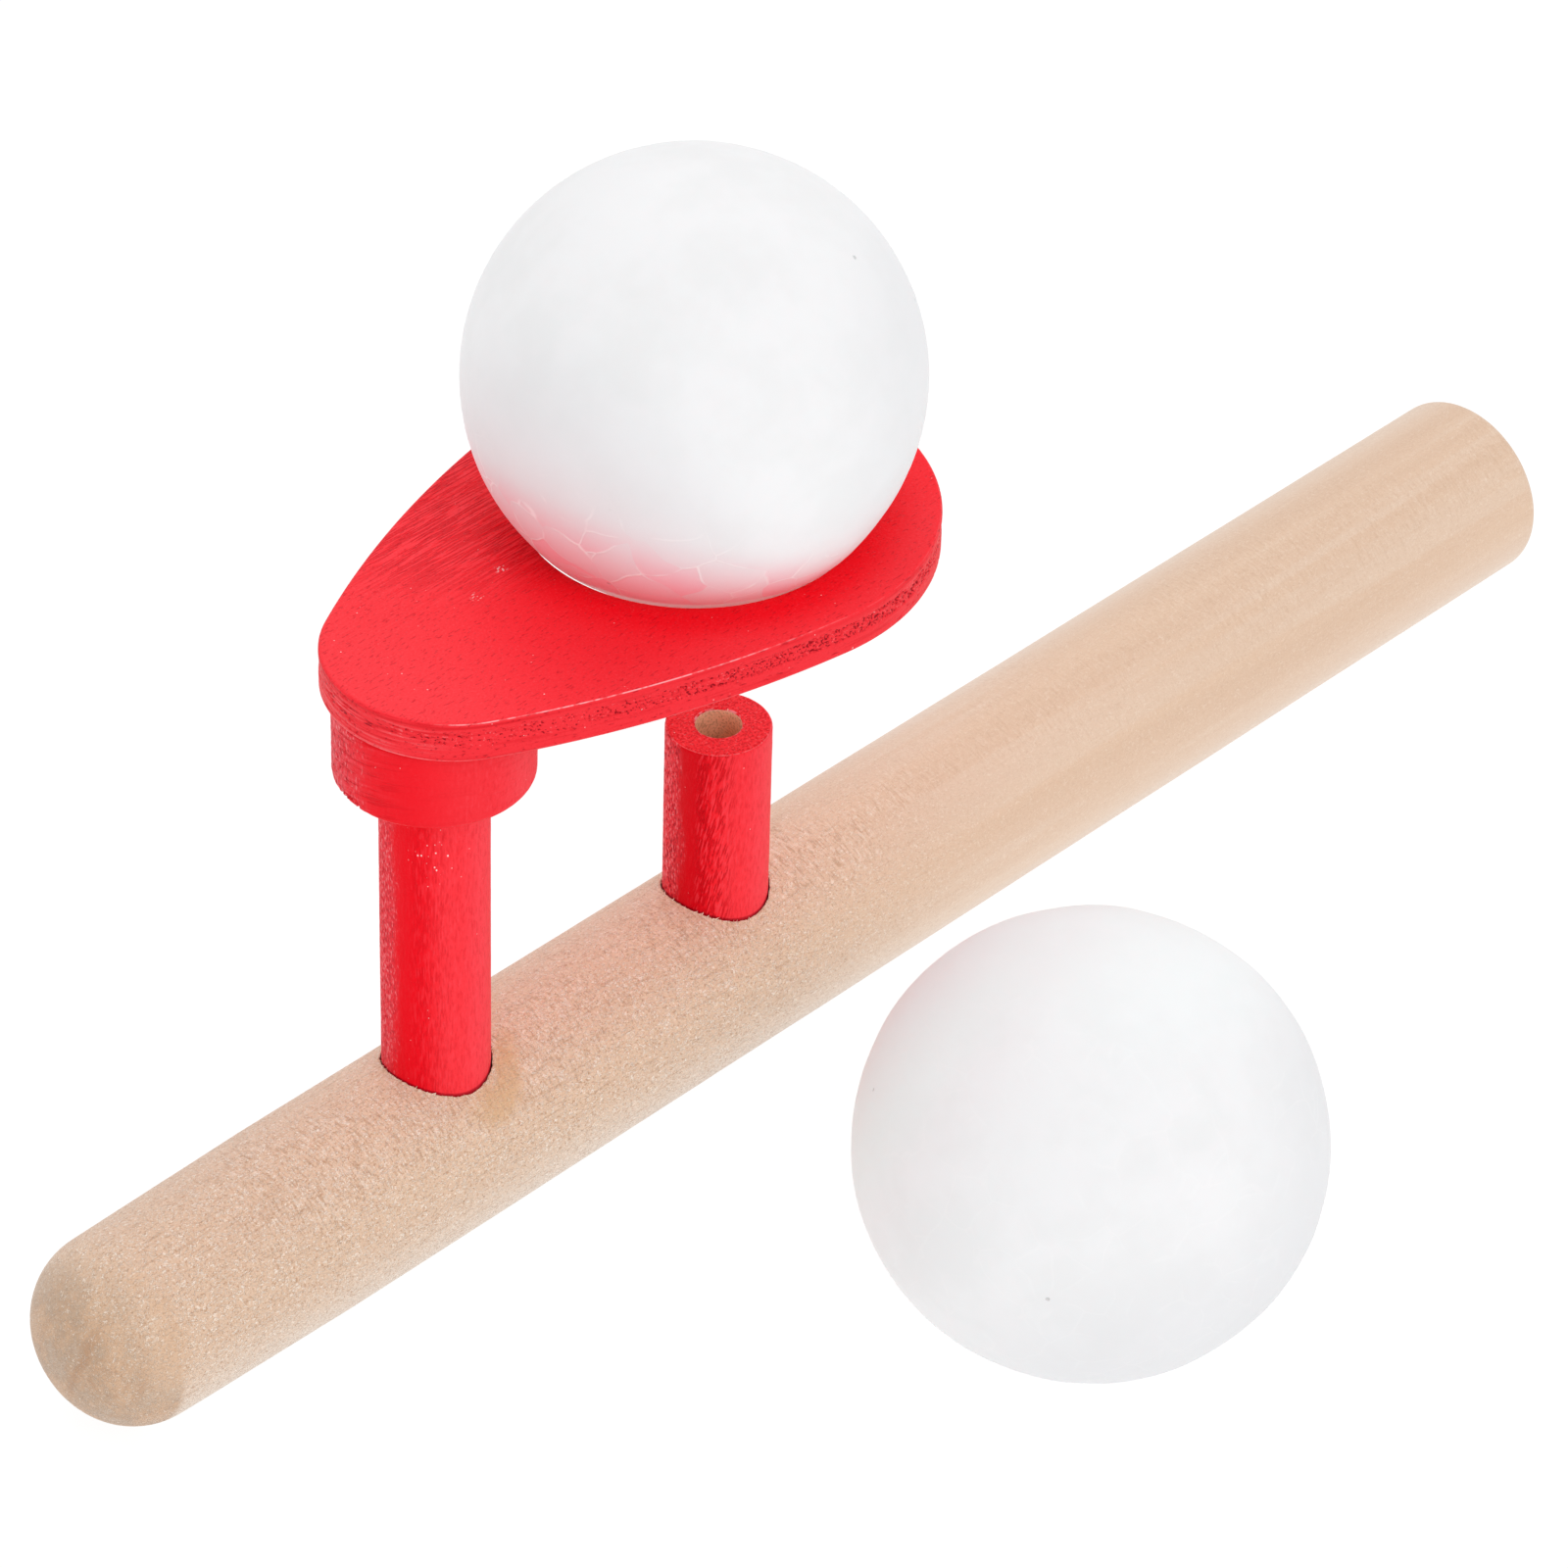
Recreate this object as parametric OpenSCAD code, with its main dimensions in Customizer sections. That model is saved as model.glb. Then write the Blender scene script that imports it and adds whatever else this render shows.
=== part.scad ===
// Floating ball pipe toy: breath goes in at the mouth of a wooden pipe, turns up through
// a drilled post, and lifts a foam ball off the ring-shaped plate that it rests on.
// The origin is the centre of the mouth's end face. +X points out of the mouth, +Z up the posts.

/* [Pipe] */
// Diameter of the dowel
pipe_d = 15; // [14:0.5:18]
// Length from the mouth's face to the tip of the domed end
pipe_len = 153.5; // [145:0.5:180]
// Rounding of the rim at the mouth
mouth_round = 0.9; // [0.4:0.1:1.5]
// Radius of the flat nose at the domed end
nose_r = 10; // [9:0.5:14]
// Radius of the shoulder between the nose and the side
shoulder_r = 6.2; // [5:0.1:6.5]
// How far the side is sanded in where the shoulder starts
sanded_in = 0.25; // [0.1:0.05:0.4]
// Length of the sanded stretch before the shoulder
sanded_len = 16; // [8:1:20]

/* [Air way] */
// Diameter of the bore drilled from the mouth
air_d = 5; // [4:0.5:6]
// Chamfer where the bore leaves the mouth's face
air_chamfer = 0.4; // [0.2:0.1:0.5]
// Depth of full bore past the middle of the nozzle post
air_past = 3.8; // [3:0.1:8]
// Diameter of the jet drilled down the nozzle post into the bore
jet_d = 3.4; // [2.6:0.1:3.8]

/* [Posts] */
// Diameter of both posts
post_d = 8; // [7:0.5:9]
// Distance from the mouth's face to the support post
support_at = 117; // [114:0.1:122]
// Distance from the mouth's face to the nozzle post
nozzle_at = 88.2; // [84:0.1:92]
// Height of the nozzle's top above the pipe's axis
nozzle_top = 22; // [18:0.5:28]
// Depth of the support post's socket below the top of the pipe
support_depth = 8; // [6:0.5:10]
// Depth of the nozzle post's socket below the top of the pipe
nozzle_depth = 4; // [3.5:0.1:4.2]
// Room for glue between a post and its hole, across the diameter
glue_gap = 0.1; // [0.05:0.05:0.2]

/* [Collar and plate] */
// Diameter of the collar under the plate
collar_d = 14.5; // [12:0.5:16]
// Height of the collar
collar_h = 6.5; // [4:0.5:8]
// Height of the plate's underside above the pipe's axis
plate_under = 39.8; // [36:0.1:46]
// Thickness of the plywood
plate_t = 3.3; // [3:0.1:4]
// Thickness of the plywood's top ply
top_ply_t = 0.8; // [0.6:0.05:1]
// Thickness of its middle ply, whose fibre ends show round the edge
middle_ply_t = 1.15; // [0.9:0.05:1.3]
// Radius of the plate's narrow end
narrow_r = 9.4; // [8:0.1:11]
// Radius of the plate's wide end
wide_r = 17.2; // [16:0.1:19]
// Radius of the long curves between the ends
flank_r = 83; // [60:1:120]
// Middle of the narrow end, measured from the support post towards the mouth
narrow_from_post = 1.9; // [1:0.1:3]
// Middle of the wide end, measured from the support post towards the mouth
wide_from_post = 26.5; // [25:0.1:29]
// Rounding of the plate's edges
plate_round = 0.35; // [0.2:0.05:0.5]

/* [Balls] */
// Diameter of the hole that the ball rests in
seat_d = 24.6; // [22:0.1:26]
// Middle of the hole, measured from the support post towards the mouth
seat_from_post = 25.5; // [25:0.1:28]
// Diameter of the ball on the plate
ball_d = 33; // [31:0.5:36]
// Air left between the ball and the edge of the hole
ball_gap = 0.12; // [0.05:0.01:0.3]
// Diameter of the spare ball
spare_d = 34; // [31:0.5:36]
// Distance from the mouth's face to the spare ball
spare_at = 92.8; // [60:0.1:120]
// How far the spare ball lies to the side of the pipe
spare_aside = 41.6; // [36:0.1:80]

/* [Hidden] */
$fn = 96;

bare_wood = [0.89, 0.76, 0.63];
red_paint = [0.88, 0.10, 0.13];
white_foam = [0.97, 0.97, 0.96];

// How far a cutting tool runs past the face that it starts from
cut_past = 1;
// Half of the angle at the point of a twist drill
drill_half_angle = 59;
// Size of the centre pip that a flat-bottomed bit leaves
pip_d = 2;
pip_depth = 0.8;
// Easing of the cut ends of the posts and of the collar's rims
post_round = 0.3;
collar_round = 0.5;
// Depth by which the middle ply stands back from the outer two
ply_back = 0.08;

pipe_r = pipe_d / 2;
post_r = post_d / 2;
post_hole_r = (post_d + glue_gap) / 2;
support_x = -support_at;
nozzle_x = -nozzle_at;
support_floor = pipe_r - support_depth;
nozzle_floor = pipe_r - nozzle_depth;
plate_top = plate_under + plate_t;

// The domed end: a nose arc centred on the axis, and a shoulder arc that is tangent to it
nose_at = pipe_len - nose_r;
shoulder_side = pipe_r - sanded_in - shoulder_r;
shoulder_past = sqrt(pow(nose_r - shoulder_r, 2) - pow(shoulder_side, 2));
shoulder_at = nose_at + shoulder_past;
shoulder_turn = atan2(shoulder_past, shoulder_side);
// How much of the nose arc's radius the flat-sided core fills
core_share = 0.9;

// The plate's outline: each flank arc is tangent to both ends, so its middle is found from them
narrow_x = support_x + narrow_from_post;
wide_x = support_x + wide_from_post;
ends_apart = wide_x - narrow_x;
to_narrow = flank_r - narrow_r;
to_wide = flank_r - wide_r;
flank_x = (pow(to_narrow, 2) - pow(to_wide, 2) + pow(ends_apart, 2)) / (2 * ends_apart);
flank_y = sqrt(pow(to_narrow, 2) - pow(flank_x, 2));
narrow_turn = atan2(flank_y, -flank_x);
wide_turn = atan2(flank_y, ends_apart - flank_x);
// Straight steps along each arc of the outline
narrow_steps = 16;
flank_steps = 8;
wide_steps = 26;
// The bottom ply takes the rest of the plywood, and the middle one reaches a little into the outer two
bottom_ply_t = plate_t - top_ply_t - middle_ply_t;
ply_overlap = 0.05;

seat_x = support_x + seat_from_post;
seat_r = seat_d / 2;
ball_r = ball_d / 2;
ball_z = plate_top + sqrt(pow(ball_r + ball_gap, 2) - pow(seat_r, 2));
spare_r = spare_d / 2;

// A slice of a disc between two angles that are at most half a turn apart
module slice_of_disc(r, from, to) {
    function ray(a) = 2 * r * [cos(a), sin(a)];
    intersection() {
        circle(r);
        polygon([[0, 0], ray(from), ray((from + to) / 2), ray(to)]);
    }
}

// Turns a shape so that its up direction runs along the pipe, away from the mouth
module along_pipe() {
    rotate([0, -90, 0]) children();
}

// Half of the pipe's outline, with the mouth's face at the bottom. The arcs overlap the flat-sided core.
module pipe_outline() {
    rim = pipe_r - mouth_round;
    nose_chord = core_share * nose_r;
    polygon([
        [0, 0], [rim, 0], [pipe_r, mouth_round], [pipe_r, shoulder_at - sanded_len],
        [shoulder_side + shoulder_r, shoulder_at],
        [nose_chord * cos(shoulder_turn), nose_at + nose_chord * sin(shoulder_turn)],
        [0, nose_at + nose_chord]
    ]);
    translate([rim, mouth_round]) slice_of_disc(mouth_round, -90, 0);
    translate([shoulder_side, shoulder_at]) slice_of_disc(shoulder_r, 0, shoulder_turn);
    translate([0, nose_at]) slice_of_disc(nose_r, shoulder_turn, 90);
}

// A bore along the pipe that ends in a drill point
module air_bore() {
    r = air_d / 2;
    deep = nozzle_at + air_past;
    along_pipe() {
        translate([0, 0, -cut_past]) cylinder(h = deep + cut_past, r = r);
        translate([0, 0, deep]) cylinder(h = r / tan(drill_half_angle), r1 = r, r2 = 0);
        translate([0, 0, -cut_past])
            cylinder(h = cut_past + air_chamfer, r1 = r + air_chamfer + cut_past, r2 = r);
    }
}

// A flat-bottomed hole for a post, with the bit's centre pip in its floor
module post_socket(floor_z, pip) {
    translate([0, 0, floor_z]) cylinder(h = pipe_d, r = post_hole_r);
    if (pip)
        translate([0, 0, floor_z - pip_depth])
            cylinder(h = pip_depth, r1 = 0, r2 = pip_d / 2);
}

module pipe() {
    color(bare_wood) difference() {
        along_pipe() rotate_extrude() pipe_outline();
        air_bore();
        translate([support_x, 0, 0]) post_socket(support_floor, true);
        translate([nozzle_x, 0, 0]) {
            post_socket(nozzle_floor, false);
            cylinder(h = pipe_d, r = jet_d / 2);
        }
    }
}

// Half of a round bar's outline, eased at both ends
module bar_outline(r, low, high, ease) {
    polygon([
        [0, low], [r - ease, low], [r, low + ease], [r, high - ease], [r - ease, high], [0, high]
    ]);
    translate([r - ease, low + ease]) slice_of_disc(ease, -90, 0);
    translate([r - ease, high - ease]) slice_of_disc(ease, 0, 90);
}

module support_post() {
    color(red_paint) translate([support_x, 0, 0])
        rotate_extrude() bar_outline(post_r, support_floor, plate_under, post_round);
}

module nozzle_post() {
    color(red_paint) translate([nozzle_x, 0, 0]) difference() {
        rotate_extrude() bar_outline(post_r, nozzle_floor, nozzle_top, post_round);
        translate([0, 0, nozzle_floor - cut_past])
            cylinder(h = nozzle_top - nozzle_floor + 2 * cut_past, r = jet_d / 2);
    }
}

module collar() {
    low = plate_under - collar_h;
    color(red_paint) translate([support_x, 0, 0]) difference() {
        rotate_extrude() bar_outline(collar_d / 2, low, plate_under, collar_round);
        translate([0, 0, low - cut_past]) cylinder(h = collar_h + 2 * cut_past, r = post_hole_r);
    }
}

// An arc's points about a middle, in steps that divide it evenly
function arc(middle, r, from, to, steps) =
    [for (i = [0:steps]) let (a = from + (to - from) * i / steps) middle + r * [cos(a), sin(a)]];

// The plate's outline, drawn in all round by an inset: both ends and both flanks keep their middles
function plate_outline(inset) = concat(
    arc([narrow_x, 0], narrow_r - inset, narrow_turn, 360 - narrow_turn, narrow_steps),
    arc([narrow_x + flank_x, flank_y], flank_r - inset, -narrow_turn, -wide_turn, flank_steps),
    arc([wide_x, 0], wide_r - inset, -wide_turn, wide_turn, wide_steps),
    arc([narrow_x + flank_x, -flank_y], flank_r - inset, wide_turn, narrow_turn, flank_steps)
);

// An outer ply lying on its inner face, with the edge of its outer face rounded
module outer_ply(thickness) {
    hull() for (a = [0:30:90])
        linear_extrude(thickness - plate_round * (1 - sin(a)))
            polygon(plate_outline(plate_round * (1 - cos(a))));
}

module plate_blank() {
    translate([0, 0, plate_top - top_ply_t]) outer_ply(top_ply_t);
    translate([0, 0, plate_under + bottom_ply_t]) mirror([0, 0, 1]) outer_ply(bottom_ply_t);
    translate([0, 0, plate_under + bottom_ply_t - ply_overlap])
        linear_extrude(middle_ply_t + 2 * ply_overlap) polygon(plate_outline(ply_back));
}

module plate() {
    color(red_paint) difference() {
        plate_blank();
        translate([seat_x, 0, plate_under - cut_past])
            cylinder(h = plate_t + 2 * cut_past, r = seat_r);
    }
}

module ball() {
    color(white_foam) translate([seat_x, 0, ball_z]) sphere(ball_r);
}

module spare_ball() {
    color(white_foam) translate([-spare_at, -spare_aside, spare_r - pipe_r]) sphere(spare_r);
}

pipe();
support_post();
nozzle_post();
collar();
plate();
ball();
spare_ball();
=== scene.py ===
import math

import bmesh
import bpy
import numpy as np
from mathutils import Matrix, Vector, noise


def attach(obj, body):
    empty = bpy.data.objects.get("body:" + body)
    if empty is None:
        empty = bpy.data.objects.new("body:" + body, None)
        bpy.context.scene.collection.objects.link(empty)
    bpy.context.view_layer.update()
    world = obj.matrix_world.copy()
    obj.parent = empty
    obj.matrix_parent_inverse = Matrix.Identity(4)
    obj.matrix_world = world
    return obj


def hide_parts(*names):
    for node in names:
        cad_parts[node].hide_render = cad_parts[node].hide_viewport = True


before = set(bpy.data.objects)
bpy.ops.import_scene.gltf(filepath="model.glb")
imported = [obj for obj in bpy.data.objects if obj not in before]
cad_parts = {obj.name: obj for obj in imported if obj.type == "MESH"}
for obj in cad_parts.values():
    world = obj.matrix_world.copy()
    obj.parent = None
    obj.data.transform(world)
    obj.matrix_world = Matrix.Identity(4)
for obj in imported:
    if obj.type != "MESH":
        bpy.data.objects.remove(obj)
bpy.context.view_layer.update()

# Every size below is in millimetres, in the CAD frame. Blender's metres come in with MM.
MM = 0.001

# The turned pieces
PIPE_R = 7.5
PIPE_LEN = 153.5
MOUTH_ROUND = 0.9
SHOULDER_R = 6.2
SHOULDER_SIDE = 1.05
NOSE_R = 10.0
SANDED_LEN = 16.0
AIR_R = 2.5
AIR_DEEP = 92.0
AIR_CHAMFER = 0.4
DRILL_POINT = 1.502
POST_R = 4.0
POST_EASE = 0.3
SOCKET_R = 4.05
SOCKET_PIP = 0.8
TORN_FROM = 5.6
CUT_TO = 8.2
JET_R = 1.7
SUPPORT_X = -117.0
SUPPORT_FLOOR = -0.5
NOZZLE_X = -88.2
NOZZLE_FLOOR = 3.5
NOZZLE_TOP = 22.0
NOZZLE_LEAN = 0.213
COLLAR_R = 7.25
COLLAR_LOW = 33.3
COLLAR_EASE = 0.45

# The plate
PLATE_LOW = 39.8
PLATE_TOP = 43.1
PLATE_ROUND = 0.35
NARROW_X = -115.1
NARROW_R = 9.4
WIDE_X = -90.5
WIDE_R = 17.2
FLANK_R = 83.0
SEAT_X = -91.5
SEAT_R = 12.3
SEAT_EASE = 0.06
MIDDLE_PLY = (41.05, 41.30, 42.25, 42.50)

# The balls
BALL_MIDDLE = (-91.5, 0.0, 54.277)
BALL_R = 16.5
SPARE_MIDDLE = (-92.8, -41.6, 9.5)
SPARE_R = 17.0

FLOOR_Z = -7.5

# The photograph's viewpoint, solved from the outlines of the toy, with its turns in degrees
CAMERA_AT = (-404.74, -300.70, 352.21)
YAW_PITCH_ROLL = (47.113, 37.558, 1.678)
CAMERA_LENS = 171.85

# How many faces run round each piece, and the points along an edge of the cube that a ball starts as
PIPE_FACES = 168
SOCKET_FACES = 220
JET_FACES = 64
POST_FACES = 176
COLLAR_FACES = 300
PLATE_FACES = 860
BALL_POINTS = 112


def arithmetic(operation, flipped=False):
    """A method that joins a value and another number in one Math node."""
    def join(value, other):
        first, second = (other, value) if flipped else (value, other)
        return value.tree.math(operation, first, second)
    return join


class Value:
    """A number on a node's output. Arithmetic on it adds Math nodes to its tree."""

    __add__ = arithmetic("ADD")
    __radd__ = arithmetic("ADD", flipped=True)
    __sub__ = arithmetic("SUBTRACT")
    __rsub__ = arithmetic("SUBTRACT", flipped=True)
    __mul__ = arithmetic("MULTIPLY")
    __rmul__ = arithmetic("MULTIPLY", flipped=True)
    __truediv__ = arithmetic("DIVIDE")
    __pow__ = arithmetic("POWER")

    def __init__(self, tree, socket):
        self.tree = tree
        self.socket = socket

    def __neg__(self):
        return self * -1.0


class Tree:
    """Adds nodes to a material's tree or to a geometry tree."""

    def __init__(self, owner):
        self.nodes = owner.nodes
        self.links = owner.links

    def node(self, kind, settings=None, inputs=None):
        """One node. Its settings come first, then a value or a link for each named or numbered input."""
        made = self.nodes.new(kind)
        for name, value in (settings or {}).items():
            setattr(made, name, value)
        for name, value in (inputs or {}).items():
            socket = made.inputs[name] if isinstance(name, int) else self.input_of(made, name)
            self.put(value, socket)
        return made

    def input_of(self, made, name):
        for socket in made.inputs:
            if socket.identifier == name:
                return socket
        return made.inputs[name]

    def put(self, value, socket):
        if isinstance(value, Value):
            self.links.new(value.socket, socket)
        elif isinstance(value, bpy.types.NodeSocket):
            self.links.new(value, socket)
        elif socket.type == "RGBA" and len(value) == 3:
            socket.default_value = (*value, 1.0)
        else:
            socket.default_value = value

    def math(self, operation, *terms):
        made = self.node("ShaderNodeMath", {"operation": operation}, dict(enumerate(terms)))
        return Value(self, made.outputs[0])

    def length(self, across, along):
        """The long side of a right-angled corner."""
        return self.math("SQRT", across ** 2.0 + along ** 2.0)

    def on_vectors(self, operation, inputs):
        return self.node("ShaderNodeVectorMath", {"operation": operation}, inputs).outputs

    def vector(self, operation, *terms):
        return self.on_vectors(operation, dict(enumerate(terms)))[0]

    def measure(self, operation, *terms):
        return Value(self, self.on_vectors(operation, dict(enumerate(terms)))["Value"])

    def scaled(self, vector, factor):
        return self.on_vectors("SCALE", {0: vector, "Scale": factor})[0]

    def parts(self, vector):
        made = self.node("ShaderNodeSeparateXYZ", None, {0: vector})
        return [Value(self, made.outputs[i]) for i in range(3)]

    def joined(self, x, y, z):
        return self.node("ShaderNodeCombineXYZ", None, {0: x, 1: y, 2: z}).outputs[0]

    def counted(self, place, per_mm, shift):
        """A pattern's own place, with its waves per millimetre: one number, or one for each axis.
        The shift picks another stretch of it."""
        per_mm = per_mm if isinstance(per_mm, tuple) else (per_mm,) * 3
        aside = self.joined(shift, shift, shift) if isinstance(shift, Value) else (shift, shift, shift)
        return self.vector("MULTIPLY_ADD", place, per_mm, aside)

    def noise(self, place, per_mm, shift=0.0, detail=1.0, roughness=0.5, swirl=0.0):
        made = self.node("ShaderNodeTexNoise", None, {
            "Vector": self.counted(place, per_mm, shift), "Scale": 1.0, "Detail": detail,
            "Roughness": roughness, "Distortion": swirl})
        return Value(self, made.outputs[0])

    def cells(self, place, per_mm, feature="F1", shift=0.0):
        return self.node("ShaderNodeTexVoronoi", {"feature": feature}, {
            "Vector": self.counted(place, per_mm, shift), "Scale": 1.0})

    def ramp(self, value, low, high, start=0.0, end=1.0):
        """A soft step from start to end while the value goes from low to high."""
        made = self.node("ShaderNodeMapRange", {"interpolation_type": "SMOOTHSTEP"},
                         {"Value": value, "From Min": low, "From Max": high, "To Min": start, "To Max": end})
        return Value(self, made.outputs[0])

    def fall(self, value, low, high):
        """A soft step down."""
        return self.ramp(value, low, high, 1.0, 0.0)

    def between(self, value, start_low, full_low, full_high, end_high):
        """A soft step up and a soft step down again."""
        return self.ramp(value, start_low, full_low) * self.fall(value, full_high, end_high)

    def near(self, away, full, end):
        """A soft step down on both sides of zero."""
        return self.fall(self.math("ABSOLUTE", away), full, end)

    def colour(self, factor, first, second):
        made = self.node("ShaderNodeMix", {"data_type": "RGBA"},
                         {"Factor_Float": factor, "A_Color": first, "B_Color": second})
        return next(s for s in made.outputs if s.identifier == "Result_Color")

    def bump(self, height_mm):
        inputs = {"Height": height_mm, "Distance": MM, "Strength": 1.0}
        return self.node("ShaderNodeBump", None, inputs).outputs[0]


class Finish(Tree):
    """A material: its tree, the place on the piece in millimetres, one shader, and its tone so far."""

    def __init__(self, name, **fixed):
        self.material = bpy.data.materials.new(name)
        self.material.use_nodes = True
        super().__init__(self.material.node_tree)
        self.nodes.clear()
        spot = self.node("ShaderNodeTexCoord")
        self.place = self.scaled(spot.outputs["Object"], 1.0 / MM)
        self.normal = spot.outputs["Normal"]
        self.tone = None
        self.shader = self.node("ShaderNodeBsdfPrincipled", None, fixed)
        self.node("ShaderNodeOutputMaterial", None, {"Surface": self.shader.outputs[0]})

    def pattern(self, per_mm, *settings, **more):
        """Noise at the piece's own place."""
        return self.noise(self.place, per_mm, *settings, **more)

    def tint(self, mask, colour):
        """Lays a colour over the tone so far."""
        self.tone = self.colour(mask, self.tone, colour)

    def feed(self, **inputs):
        for name, value in inputs.items():
            self.put(value, self.shader.inputs[name.replace("_", " ")])


# Colours, as linear light
TAN = (0.730, 0.510, 0.362)
PINK_TAN = (0.795, 0.570, 0.400)
PALE_TAN = (0.840, 0.720, 0.610)
DARK_TAN = (0.480, 0.270, 0.150)
HAIR_TAN = (1.000, 0.860, 0.730)
END_GRAIN = (0.528, 0.358, 0.238)
STAIN = (0.690, 0.430, 0.260)
DRILLED_TAN = (0.960, 0.560, 0.350)
TORN_TAN = (0.960, 0.800, 0.660)
GLUE = (0.700, 0.430, 0.210)
RED = (0.940, 0.004, 0.014)
PAINTED_LIGHT_RED = (0.980, 0.036, 0.050)
EDGE_RED = (0.900, 0.033, 0.046)
PINK_RED = (1.000, 0.085, 0.115)
GRAZING_SHEEN_PINK = (0.820, 0.085, 0.115)
DEEP_RED = (0.640, 0.001, 0.008)
RIB_RED = (0.500, 0.000, 0.010)
PORE_RED = (0.330, 0.000, 0.008)
# Worn paint and bare fibres, and also painted highlights
WORN_AND_HIGHLIGHT_RED = (1.000, 0.520, 0.550)
FOAM = (0.876, 0.874, 0.885)
GREY_FOAM = (0.845, 0.845, 0.852)
# Painted shade and painted light for the balls' sides
SHADED_FOAM = (0.720, 0.723, 0.742)
PAINTED_LIGHT_FOAM = (0.865, 0.975, 0.970)
PAINTED_TOP_LIGHT_FOAM = (0.905, 0.950, 0.955)
BOUNCE_PINK = (0.920, 0.520, 0.590)
DUST = (1.000, 0.740, 0.740)

# The side of the posts and the collar whose grain is coarse, and the side behind it that is milder
COARSE_SIDE = (-0.68, 0.73)
MILD_SIDE = (0.734, 0.679)

# Where bare crumbs of wood crowd: on the support post, and on the plate
POST_CRUMBS_AT = (-119.8, -2.9, 28.0)
PLATE_CRUMBS_AT = ((-106.6, 4.0, PLATE_TOP), (-110.1, 2.8, PLATE_TOP))

# The beads of the moulded foam
BEADS_PER_MM = 0.30

# Orange stains where the dome begins, each with its reach
STAINS = (((-148.5, -2.6, 6.6), 1.3), ((-148.4, -6.1, 3.7), 2.0), ((-148.1, -4.6, 5.5), 1.5),
          ((-149.2, -6.4, 1.4), 3.0))


def facing_coarse(x, y, middle_x, radius):
    """How far a spot on an upright piece faces its coarse side: 1 there, -1 opposite."""
    return ((x - middle_x) * COARSE_SIDE[0] + y * COARSE_SIDE[1]) / radius


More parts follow.
